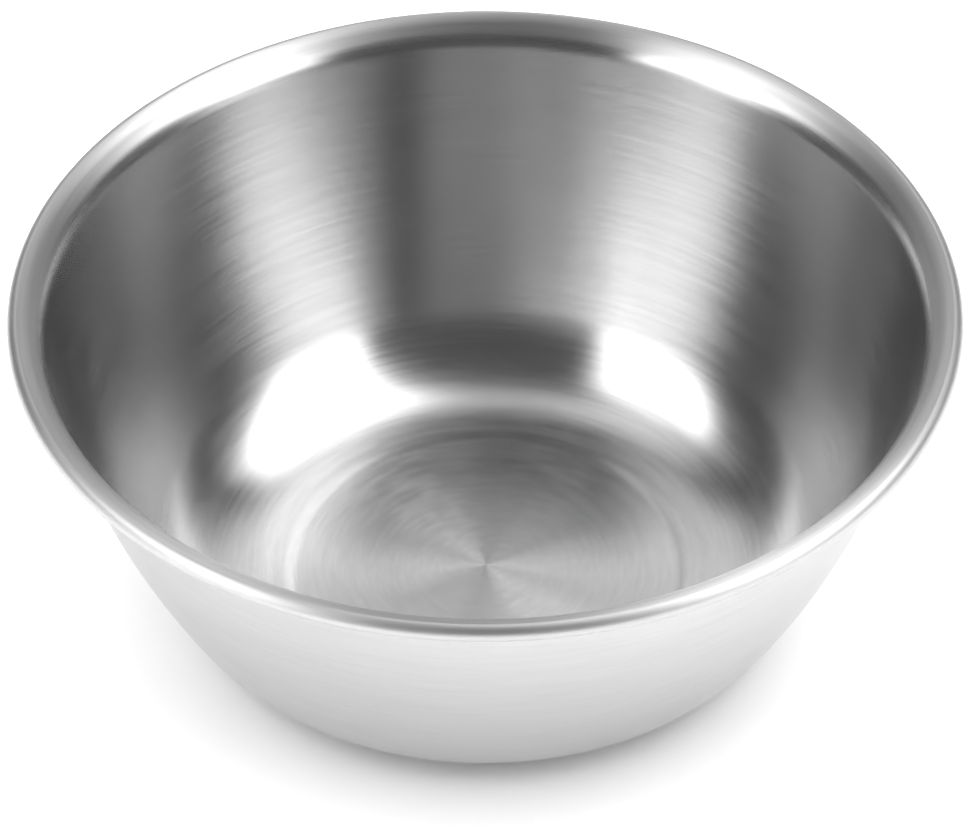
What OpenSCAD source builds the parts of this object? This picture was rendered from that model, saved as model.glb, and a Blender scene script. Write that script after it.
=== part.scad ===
// Round mixing bowl, drawn from one sheet, with a flared and rolled rim.
// Millimetres, +Z up. The bowl stands on z = 0 and the Z axis is its centre line.
// Each node is one zone of the sheet. Neighbouring zones meet on a cut square to the sheet.

/* [Overall size] */
// Diameter over the rolled rim
rim_d = 240; // [238:1:248]
// Height from the table to the top of the rim
height = 94; // [90:1:98]
// Thickness of the sheet
sheet = 0.8; // [0.5:0.1:1]

/* [Foot] */
// Outside diameter of the flat ring that the bowl stands on
foot_d = 115; // [110:1:117]
// Width of the flat ring
foot_w = 3.5; // [3:0.5:5]
// Width of the step from the ring up to the floor panel
step_w = 5; // [4:0.5:7]
// Height of the floor panel above the ring
panel_lift = 0.5; // [0.3:0.1:1]

/* [Wall] */
// Outside radius of the bend between the ring and the wall
cove_r = 33; // [30:1:34]
// Lean of the wall from upright where the bend ends, in degrees
wall_lean = 28; // [26:1:29]
// Outside radius of the barrelled wall
wall_r = 250; // [220:10:270]

/* [Rim] */
// Slope of the flare below the top of the rim, in degrees
flare_slope = 45; // [40:1:50]
// Radius of the curve from the wall into the flare
flare_r = 9; // [7:1:11]
// Radius of the curve over the inner side of the rim
crest_r = 4.5; // [3.5:0.5:6]
// Outside radius of the rolled edge
roll_r = 2.4; // [2:0.1:2.8]
// How far the edge is rolled round from the top of the rim, in degrees
roll_turn = 255; // [200:5:270]

/* [Hidden] */

foot_r = foot_d / 2;
foot_inner_r = foot_r - foot_w;
panel_r = foot_inner_r - step_w;

// The step is two equal bends, one down from the panel and one level again at the ring.
step_turn = 2 * atan(panel_lift / step_w);
step_r = step_w / (2 * sin(step_turn));
step_top_c = [panel_r, panel_lift + sheet / 2 - step_r];
step_foot_c = [foot_inner_r, sheet / 2 + step_r];

// The bend above the foot, in two halves, and the wall, which runs on from it without a kink.
cove_c = [foot_r, cove_r];
cove_half = -(90 + wall_lean) / 2;
wall_c = cove_c + (cove_r - wall_r) * dir(-wall_lean);

// The rolled edge and the curve over the rim's inner side both reach the top of the rim.
roll_c = [rim_d / 2 - roll_r, height - roll_r];
crest_c = [roll_c[0], height - crest_r];

// The flare leaves the crest down a straight slope, then curves into the wall. The centre of
// that curve runs beside the slope until the two curves just touch.
slope_normal = dir(90 + flare_slope);
slope_down = dir(180 + flare_slope);
reach = wall_r - sheet + flare_r;
start = crest_c + (crest_r - flare_r) * slope_normal - wall_c;
along = -start * slope_down - sqrt(pow(start * slope_down, 2) - start * start + reach * reach);
flare_c = wall_c + start + along * slope_down;
wall_top = atan2(flare_c[1] - wall_c[1], flare_c[0] - wall_c[0]);

// Unit vector at an angle above the outward direction
function dir(a) = [cos(a), sin(a)];

// Points along an arc, both ends included
function arc(c, r, from, to, steps) =
    [for (i = [0:steps]) c + r * dir(from + (to - from) * i / steps)];

// A zone of the sheet, turned about the Z axis from the two sides of its section
module turned(one_side, other_side) {
    back = [for (i = [len(other_side) - 1:-1:0]) other_side[i]];
    rotate_extrude($fn = 180) polygon(concat(one_side, back));
}

// Floor of the bowl, pressed up a little from the ring around it
module base_panel() {
    color("gainsboro") translate([0, 0, panel_lift])
        cylinder(h = sheet, r = panel_r, $fn = 180);
}

// Step down from the floor, and the flat ring that the bowl stands on
module standing_ring() {
    function side(shift, flat_z) = concat(
        arc(step_top_c, step_r + shift, 90, 90 - step_turn, 8),
        arc(step_foot_c, step_r - shift, -90 - step_turn, -90, 8),
        [[foot_r, flat_z]]);
    color("silver") turned(side(sheet / 2, sheet), side(-sheet / 2, 0));
}

// Lower half of the bend, which leaves the ring level
module foot_bend() {
    color("gainsboro") turned(
        arc(cove_c, cove_r, -90, cove_half, 10),
        arc(cove_c, cove_r - sheet, -90, cove_half, 10));
}

// Upper half of the bend, which runs into the side wall
module lower_wall() {
    color("silver") turned(
        arc(cove_c, cove_r, cove_half, -wall_lean, 10),
        arc(cove_c, cove_r - sheet, cove_half, -wall_lean, 10));
}

// Tall barrelled wall
module side_wall() {
    color("lightgray") turned(
        arc(wall_c, wall_r, -wall_lean, wall_top, 24),
        arc(wall_c, wall_r - sheet, -wall_lean, wall_top, 24));
}

// Flare from the wall out to the top of the rim
module rim_flare() {
    function side(depth) = concat(
        arc(flare_c, flare_r - depth, 180 + wall_top, 90 + flare_slope, 14),
        arc(crest_c, crest_r - depth, 90 + flare_slope, 90, 10));
    color("silver") turned(side(0), side(sheet));
}

// Edge of the sheet, rolled over, down and back under the flare
module rolled_rim() {
    color("whitesmoke") turned(
        arc(roll_c, roll_r, 90, 90 - roll_turn, 32),
        arc(roll_c, roll_r - sheet, 90, 90 - roll_turn, 32));
}

base_panel();
standing_ring();
foot_bend();
lower_wall();
side_wall();
rim_flare();
rolled_rim();
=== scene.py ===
import math

import bpy
from mathutils import Matrix, Vector


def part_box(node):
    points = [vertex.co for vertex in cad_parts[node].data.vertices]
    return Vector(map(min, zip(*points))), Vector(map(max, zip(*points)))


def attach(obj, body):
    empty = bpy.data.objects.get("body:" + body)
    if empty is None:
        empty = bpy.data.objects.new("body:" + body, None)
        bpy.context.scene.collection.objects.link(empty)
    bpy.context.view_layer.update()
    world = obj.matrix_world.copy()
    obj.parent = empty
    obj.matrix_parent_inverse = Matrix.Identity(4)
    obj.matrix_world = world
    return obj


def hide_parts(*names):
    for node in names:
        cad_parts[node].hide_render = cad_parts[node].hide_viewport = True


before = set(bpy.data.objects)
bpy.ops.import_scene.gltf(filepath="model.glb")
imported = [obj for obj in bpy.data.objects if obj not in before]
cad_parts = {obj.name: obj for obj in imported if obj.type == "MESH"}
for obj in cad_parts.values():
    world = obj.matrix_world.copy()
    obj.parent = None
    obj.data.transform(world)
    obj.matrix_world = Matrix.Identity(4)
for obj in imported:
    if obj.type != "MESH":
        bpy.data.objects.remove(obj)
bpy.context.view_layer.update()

MM = 0.001

# ---------------------------------------------------------------- sizes taken from the frame
ring_low, ring_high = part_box("standing_ring")
panel_low, panel_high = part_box("base_panel")
roll_low, roll_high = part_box("rolled_rim")

HEIGHT = roll_high.z
RIM_R = roll_high.y
SHEET = panel_high.z - panel_low.z
PANEL_LIFT = panel_low.z
PANEL_R = panel_high.y
FOOT_R = ring_high.y

# ---------------------------------------------------------------- the rest of the bowl's section
FOOT_W = 3.5 * MM
COVE_R = 33 * MM
WALL_LEAN = 28
COVE_SPLIT = -(90 + WALL_LEAN) / 2
WALL_R = 250 * MM
FLARE_SLOPE = 45
FLARE_R = 9 * MM
CREST_R = 4.5 * MM
ROLL_R = 2.4 * MM
ROLL_TURN = 255

# ---------------------------------------------------------------- how finely it is divided
AROUND = 288
PANEL_STEPS = 98
FLAT_STEPS = 4
STEP_STEPS = 10
FOOT_STEPS = 20
WALL_STEPS = 72
FLARE_STEPS = 20
CREST_STEPS = 16
ROLL_STEPS = 48
EDGE_STEPS = 8
ON_AXIS = 1e-9


def direction(angle):
    """Unit vector (outward, up) at an angle in degrees above the outward direction."""
    return Vector((math.cos(math.radians(angle)), math.sin(math.radians(angle))))


def bend(centre, radius, start, end, steps, hollow=False):
    """Stations along a bend of the sheet's middle line. A station is a point and the normal
    of the side that the food touches. A hollow bend has its centre on that side."""
    stations = []
    for i in range(steps + 1):
        away = direction(start + (end - start) * i / steps)
        stations.append((centre + radius * away, -away if hollow else away))
    return stations


def straight(start, end, normal, steps):
    """Stations along a straight stretch of the sheet's middle line."""
    return [(start.lerp(end, i / steps), normal) for i in range(steps + 1)]


def join(*stretches):
    """Runs stretches together, leaving out the station that each shares with the one before."""
    joined = list(stretches[0])
    for stretch in stretches[1:]:
        joined += stretch[1:]
    return joined


# ---------------------------------------------------------------- the section, zone by zone
UP = Vector((0, 1))
HALF = SHEET / 2

step_w = FOOT_R - FOOT_W - PANEL_R
step_turn = math.degrees(2 * math.atan(PANEL_LIFT / step_w))
step_r = step_w / (2 * math.sin(math.radians(step_turn)))
step_top = Vector((PANEL_R, PANEL_LIFT + HALF - step_r))
step_foot = Vector((FOOT_R - FOOT_W, HALF + step_r))

cove_c = Vector((FOOT_R, COVE_R))
wall_c = cove_c + (COVE_R - WALL_R) * direction(-WALL_LEAN)
roll_c = Vector((RIM_R - ROLL_R, HEIGHT - ROLL_R))
crest_c = Vector((roll_c.x, HEIGHT - CREST_R))

# The flare's curve touches both the straight slope below the crest and the wall.
slope_normal = direction(90 + FLARE_SLOPE)
slope_down = direction(180 + FLARE_SLOPE)
reach = WALL_R - SHEET + FLARE_R
start = crest_c + (CREST_R - FLARE_R) * slope_normal - wall_c
downhill = start.dot(slope_down)
along = -downhill - math.sqrt(downhill**2 - start.dot(start) + reach**2)
flare_c = wall_c + start + along * slope_down
wall_top = math.degrees(math.atan2(flare_c.y - wall_c.y, flare_c.x - wall_c.x))

SECTION = {
    "base_panel": straight(
        Vector((0, PANEL_LIFT + HALF)),
        Vector((PANEL_R, PANEL_LIFT + HALF)),
        UP,
        PANEL_STEPS,
    ),
    "standing_ring": join(
        bend(step_top, step_r, 90, 90 - step_turn, STEP_STEPS),
        bend(step_foot, step_r, -90 - step_turn, -90, STEP_STEPS, hollow=True),
        straight(Vector((FOOT_R - FOOT_W, HALF)), Vector((FOOT_R, HALF)), UP, FLAT_STEPS),
    ),
    "foot_bend": bend(cove_c, COVE_R - HALF, -90, COVE_SPLIT, FOOT_STEPS, hollow=True),
    "lower_wall": bend(cove_c, COVE_R - HALF, COVE_SPLIT, -WALL_LEAN, FOOT_STEPS, hollow=True),
    "side_wall": bend(wall_c, WALL_R - HALF, -WALL_LEAN, wall_top, WALL_STEPS, hollow=True),
    "rim_flare": join(
        bend(flare_c, FLARE_R - HALF, 180 + wall_top, 90 + FLARE_SLOPE, FLARE_STEPS),
        straight(
            flare_c + (FLARE_R - HALF) * slope_normal,
            crest_c + (CREST_R - HALF) * slope_normal,
            slope_normal,
            FLAT_STEPS,
        ),
        bend(crest_c, CREST_R - HALF, 90 + FLARE_SLOPE, 90, CREST_STEPS),
    ),
    "rolled_rim": bend(roll_c, ROLL_R - HALF, 90, 90 - ROLL_TURN, ROLL_STEPS),
}


def outline(stations, rounded_end):
    """Closed outline of a zone's section, as a list of edges. An edge is two points with the
    normal at each: the food side first, then the far end, the other side and the near cut. The
    far end is a square cut, or rounded."""
    food = [(p + HALF * n, n) for p, n in stations]
    back = [(p - HALF * n, -n) for p, n in reversed(stations)]
    edges = list(zip(food, food[1:]))
    last, normal = stations[-1]
    onward = Vector((normal.y, -normal.x))
    if rounded_end:
        round_end = []
        for i in range(EDGE_STEPS + 1):
            turn = math.pi * i / EDGE_STEPS
            away = math.cos(turn) * normal + math.sin(turn) * onward
            round_end.append((last + HALF * away, away))
        edges += zip(round_end, round_end[1:])
    else:
        edges.append(((food[-1][0], onward), (back[0][0], onward)))
    edges += zip(back, back[1:])
    first, normal = stations[0]
    inward = Vector((-normal.y, normal.x))
    edges.append(((back[-1][0], inward), (food[0][0], inward)))
    return edges


def turned(name, edges):
    """A closed solid: the section's outline turned about the Z axis, with exact normals."""
    turns = [2 * math.pi * i / AROUND for i in range(AROUND)]
    verts, first = [], {}

    def key(p):
        return (round(p.x, 9), round(p.y, 9))

    def on_axis(p):
        return p.x < ON_AXIS

    def vertex(p, i):
        return first[key(p)] + (0 if on_axis(p) else i % AROUND)

    for (p, _), _ in edges:
        if key(p) in first:
            continue
        first[key(p)] = len(verts)
        if on_axis(p):
            verts.append((0, 0, p.y))
        else:
            verts += [(p.x * math.cos(t), p.x * math.sin(t), p.y) for t in turns]

    faces, normals = [], []
    for (a, normal_a), (b, normal_b) in edges:
        if on_axis(a) and on_axis(b):
            continue
        for i in range(AROUND):
            corners = [(a, normal_a, i), (b, normal_b, i), (b, normal_b, i + 1), (a, normal_a, i + 1)]
            if on_axis(a):
                corners.pop(3)
            elif on_axis(b):
                corners.pop(2)
            faces.append([vertex(p, k) for p, _, k in corners])
            middle = 2 * math.pi * (i + 0.5) / AROUND
            for p, n, k in corners:
                t = middle if on_axis(p) else turns[k % AROUND]
                normals.append((n.x * math.cos(t), n.x * math.sin(t), n.y))

    mesh = bpy.data.meshes.new(name)
    mesh.from_pydata(verts, [], faces)
    mesh.shade_smooth()
    mesh.normals_split_custom_set(normals)
    piece = bpy.data.objects.new(name, mesh)
    bpy.context.collection.objects.link(piece)
    return piece


# ---------------------------------------------------------------- satin stainless steel
STEEL_GREY = 0.5
BODY_ROUGHNESS = 0.23
BODY_STRETCH = 0.9
RIM_ROUGHNESS = 0.45
RIM_STRETCH = 0.5
RIM_FINISH = 5 * MM
QUARTER_TURN = 0.25

# Distance between brush lines, and how strongly they show
FINE_PITCH = 0.3 * MM
COARSE_PITCH = 1.6 * MM
WORN_PITCH = 12 * MM
FINE_GREY = 0.015
COARSE_GREY = 0.02
COARSE_ROUGH = 0.01
WORN_SMOOTHER = -0.015
WORN_ROUGHER = 0.02
BRUSH_DEPTH = 0.006 * MM
FINE_DEPTH = 0.25

# Nearly all of a noise lies between these two values
NOISE_LOW = 0.3
NOISE_HIGH = 0.7
SMALLEST_RADIUS = 0.1 * MM


def math_node(tree, operation, *values):
    """A Math node. A value is a number or another node's output."""
    node = tree.nodes.new("ShaderNodeMath")
    node.operation = operation
    for socket, value in zip(node.inputs, values):
        if isinstance(value, (int, float)):
            socket.default_value = value
        else:
            tree.links.new(value, socket)
    return node.outputs["Value"]


def turning_coordinates(tree):
    """Coordinates that suit a turned sheet: the cosine and sine of the way round, the radius plus
    the height, which grows all the way from the floor to the rim, and the height."""
    place = tree.nodes.new("ShaderNodeTexCoord").outputs["Object"]
    split = tree.nodes.new("ShaderNodeSeparateXYZ")
    tree.links.new(place, split.inputs["Vector"])
    x, y, z = split.outputs
    squares = math_node(tree, "ADD", math_node(tree, "POWER", x, 2), math_node(tree, "POWER", y, 2))
    radius = math_node(tree, "MAXIMUM", math_node(tree, "SQRT", squares), SMALLEST_RADIUS)
    cosine = math_node(tree, "DIVIDE", x, radius)
    sine = math_node(tree, "DIVIDE", y, radius)
    return cosine, sine, math_node(tree, "ADD", radius, z), z


def brush_lines(tree, turning, pitch, breaks, detail):
    """Noise drawn out along the way round, from 0 to 1. Its lines are a pitch apart, and the
    number of breaks says how soon a line fades into the next one."""
    cosine, sine, along = turning
    place = tree.nodes.new("ShaderNodeCombineXYZ")
    tree.links.new(math_node(tree, "MULTIPLY", cosine, breaks), place.inputs["X"])
    tree.links.new(math_node(tree, "MULTIPLY", sine, breaks), place.inputs["Y"])
    tree.links.new(math_node(tree, "DIVIDE", along, pitch), place.inputs["Z"])
    noise = tree.nodes.new("ShaderNodeTexNoise")
    noise.inputs["Scale"].default_value = 1.0
    noise.inputs["Detail"].default_value = detail
    tree.links.new(place.outputs["Vector"], noise.inputs["Vector"])
    return noise.outputs["Fac"]


def spread(tree, value, low, high):
    """Maps a noise to the range from low to high."""
    node = tree.nodes.new("ShaderNodeMapRange")
    node.inputs["From Min"].default_value = NOISE_LOW
    node.inputs["From Max"].default_value = NOISE_HIGH
    node.inputs["To Min"].default_value = low
    node.inputs["To Max"].default_value = high
    tree.links.new(value, node.inputs["Value"])
    return node.outputs["Result"]


def finish_roughness(tree, height, body, rim):
    """Roughness of the body, going over to that of the rim in the top few millimetres."""
    ramp = tree.nodes.new("ShaderNodeMapRange")
    ramp.interpolation_type = "SMOOTHSTEP"
    ramp.inputs["From Min"].default_value = HEIGHT - RIM_FINISH
    ramp.inputs["From Max"].default_value = HEIGHT - RIM_FINISH / 3
    ramp.inputs["To Min"].default_value = body
    ramp.inputs["To Max"].default_value = rim
    tree.links.new(height, ramp.inputs["Value"])
    return ramp.outputs["Result"]


def brushed_steel(name, roughness, stretch):
    """Stainless steel brushed round and round, so that its highlights run up and down the wall."""
    mat = bpy.data.materials.new(name)
    mat.use_nodes = True
    tree = mat.node_tree
    shader = tree.nodes["Principled BSDF"]
    shader.inputs["Metallic"].default_value = 1.0
    shader.inputs["Anisotropic"].default_value = stretch
    shader.inputs["Anisotropic Rotation"].default_value = QUARTER_TURN
    tangent = tree.nodes.new("ShaderNodeTangent")
    tangent.direction_type = "RADIAL"
    tangent.axis = "Z"
    tree.links.new(tangent.outputs["Tangent"], shader.inputs["Tangent"])

    *turning, height = turning_coordinates(tree)
    fine = brush_lines(tree, turning, FINE_PITCH, breaks=5, detail=2)
    coarse = brush_lines(tree, turning, COARSE_PITCH, breaks=3, detail=3)
    worn = brush_lines(tree, turning, WORN_PITCH, breaks=4, detail=4)

    fine_grey = spread(tree, fine, -FINE_GREY, FINE_GREY)
    coarse_grey = spread(tree, coarse, -COARSE_GREY, COARSE_GREY)
    grey = math_node(tree, "ADD", math_node(tree, "ADD", fine_grey, coarse_grey), STEEL_GREY)
    tree.links.new(grey, shader.inputs["Base Color"])

    worn_rough = spread(tree, worn, WORN_SMOOTHER, WORN_ROUGHER)
    coarse_rough = spread(tree, coarse, -COARSE_ROUGH, COARSE_ROUGH)
    uneven = math_node(tree, "ADD", worn_rough, coarse_rough)
    finish = finish_roughness(tree, height, roughness, RIM_ROUGHNESS)
    tree.links.new(math_node(tree, "ADD", uneven, finish), shader.inputs["Roughness"])

    depth = math_node(tree, "ADD", coarse, math_node(tree, "MULTIPLY", fine, FINE_DEPTH))
    bump = tree.nodes.new("ShaderNodeBump")
    bump.inputs["Strength"].default_value = 1.0
    bump.inputs["Distance"].default_value = BRUSH_DEPTH
    tree.links.new(depth, bump.inputs["Height"])
    tree.links.new(bump.outputs["Normal"], shader.inputs["Normal"])
    return mat


body_steel = brushed_steel("body_steel", BODY_ROUGHNESS, BODY_STRETCH)
rim_steel = brushed_steel("rim_steel", RIM_ROUGHNESS, RIM_STRETCH)
for zone, stations in SECTION.items():
    is_rim = zone == "rolled_rim"
    piece = turned("steel_" + zone, outline(stations, rounded_end=is_rim))
    piece.data.materials.append(rim_steel if is_rim else body_steel)
    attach(piece, "root")
    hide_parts(zone)


# ---------------------------------------------------------------- camera
SENSOR = 36
LENS = 185.4
DISTANCE = 10.69 * RIM_R
ELEVATION = 41.9
AIM_HEIGHT = 0.448 * RIM_R
CAMERA_ROLL = -0.17
FARTHEST = 50


def add_camera():
    data = bpy.data.cameras.new("camera")
    data.sensor_width = SENSOR
    data.lens = LENS
    data.clip_end = FARTHEST
    camera = bpy.data.objects.new("camera", data)
    elevation = math.radians(ELEVATION)
    back = Vector((0, -math.cos(elevation), math.sin(elevation)))
    roll = Matrix.Rotation(math.radians(CAMERA_ROLL), 3, "Z")
    turn = (-back).to_track_quat("-Z", "Y").to_matrix() @ roll
    place = Vector((0, 0, AIM_HEIGHT)) + DISTANCE * back
    camera.matrix_world = Matrix.Translation(place) @ turn.to_4x4()
    bpy.context.collection.objects.link(camera)
    bpy.context.scene.camera = camera


add_camera()


# ---------------------------------------------------------------- floor and light
FLOOR_HALF = 6
FLOOR_GREY = 0.9
BOX_DISTANCE = 1.5
BOX_EDGE = 0.5
OVERHEAD_SIZE = 2.5
OVERHEAD_HEIGHT = 1.8
OVERHEAD_WATTS = 50
WORLD_STRENGTH = 0.12


def flat(name, corners, mat):
    mesh = bpy.data.meshes.new(name)
    mesh.from_pydata(corners, [], [(0, 1, 2, 3)])
    mesh.materials.append(mat)
    board = bpy.data.objects.new(name, mesh)
    bpy.context.collection.objects.link(board)
    return board


def rectangle(half_width, half_height):
    return [(x * half_width, y * half_height, 0) for x, y in ((-1, -1), (1, -1), (1, 1), (-1, 1))]


def plain(name, grey):
    mat = bpy.data.materials.new(name)
    mat.use_nodes = True
    shader = mat.node_tree.nodes["Principled BSDF"]
    shader.inputs["Base Color"].default_value = (grey, grey, grey, 1)
    shader.inputs["Roughness"].default_value = 1.0
    shader.inputs["Specular IOR Level"].default_value = 0.0
    return mat


def facing_bowl(board, azimuth, elevation, roll):
    """Stands a board off from the bowl's middle and square to it, with its width rolled by an
    angle from level in its own plane."""
    a, e = math.radians(azimuth), math.radians(elevation)
    away = Vector((math.cos(e) * math.cos(a), math.cos(e) * math.sin(a), math.sin(e)))
    level = Vector((-math.sin(a), math.cos(a), 0))
    turn = Matrix((level, away.cross(level), away)).transposed().to_4x4()
    turn = turn @ Matrix.Rotation(math.radians(roll), 4, "Z")
    place = Vector((0, 0, HEIGHT / 2)) + BOX_DISTANCE * away
    board.matrix_world = Matrix.Translation(place) @ turn
    board.visible_camera = False


def glow(name, half_width, half_height, middle, corner):
    """Light of a softbox, which changes in strength from the middle to the corners and has soft
    edges. What is behind a box shows through it, so that boxes add up where they overlap."""
    mat = bpy.data.materials.new(name)
    mat.use_nodes = True
    tree = mat.node_tree
    tree.nodes.clear()
    split = tree.nodes.new("ShaderNodeSeparateXYZ")
    tree.links.new(tree.nodes.new("ShaderNodeTexCoord").outputs["Object"], split.inputs["Vector"])
    inside, squares = [], []
    for axis, half in (("X", half_width), ("Y", half_height)):
        ramp = tree.nodes.new("ShaderNodeMapRange")
        ramp.interpolation_type = "SMOOTHSTEP"
        ramp.inputs["From Min"].default_value = half
        ramp.inputs["From Max"].default_value = half * (1 - BOX_EDGE)
        tree.links.new(math_node(tree, "ABSOLUTE", split.outputs[axis]), ramp.inputs["Value"])
        inside.append(ramp.outputs["Result"])
        share = math_node(tree, "DIVIDE", split.outputs[axis], half)
        squares.append(math_node(tree, "POWER", share, 2))
    fall = math_node(tree, "MULTIPLY", math_node(tree, "ADD", *squares), (corner - middle) / 2)
    level = math_node(tree, "ADD", fall, middle)
    strength = math_node(tree, "MULTIPLY", level, math_node(tree, "MULTIPLY", *inside))
    emission = tree.nodes.new("ShaderNodeEmission")
    tree.links.new(strength, emission.inputs["Strength"])
    clear = tree.nodes.new("ShaderNodeBsdfTransparent")
    both = tree.nodes.new("ShaderNodeAddShader")
    tree.links.new(emission.outputs["Emission"], both.inputs[0])
    tree.links.new(clear.outputs["BSDF"], both.inputs[1])
    output = tree.nodes.new("ShaderNodeOutputMaterial")
    tree.links.new(both.outputs["Shader"], output.inputs["Surface"])
    return mat


def add_softbox(name, azimuth, elevation, roll, half_size, light):
    """A softbox, given its half width and half height, and its light in the middle and in the
    corners, before its edges are softened."""
    board = flat(name, rectangle(*half_size), glow(name, *half_size, *light))
    facing_bowl(board, azimuth, elevation, roll)


def add_overhead():
    """Soft light from above for the floor, which the steel doesn't mirror."""
    data = bpy.data.lights.new("overhead", "AREA")
    data.shape = "SQUARE"
    data.size = OVERHEAD_SIZE
    data.energy = OVERHEAD_WATTS
    lamp = bpy.data.objects.new("overhead", data)
    lamp.location = (0, 0, OVERHEAD_HEIGHT)
    lamp.visible_glossy = False
    bpy.context.collection.objects.link(lamp)


def add_world():
    """A dim white all round."""
    world = bpy.data.worlds.new("studio")
    world.use_nodes = True
    background = world.node_tree.nodes["Background"]
    background.inputs["Color"].default_value = (1, 1, 1, 1)
    background.inputs["Strength"].default_value = WORLD_STRENGTH
    bpy.context.scene.world = world


flat("floor", rectangle(FLOOR_HALF, FLOOR_HALF), plain("floor_white", FLOOR_GREY))
add_softbox("softbox_right", -9, 49, -44, half_size=(0.60, 1.80), light=(4.2, 2.2))
add_softbox("softbox_left", 203, 37, 35, half_size=(0.60, 1.36), light=(4.0, 2.2))
add_softbox("softbox_back_right", 22, 47, 0, half_size=(0.45, 0.34), light=(2.0, 1.6))
add_softbox("softbox_back_left", 160, 46, 0, half_size=(0.40, 0.30), light=(0.6, 0.5))
add_softbox("softbox_back", 90, 34, 0, half_size=(0.95, 0.50), light=(1.1, 0.9))
add_softbox("softbox_top", 90, 66, 0, half_size=(0.80, 0.35), light=(1.2, 1.0))
add_overhead()
add_world()
bpy.context.scene.view_settings.view_transform = "Standard"
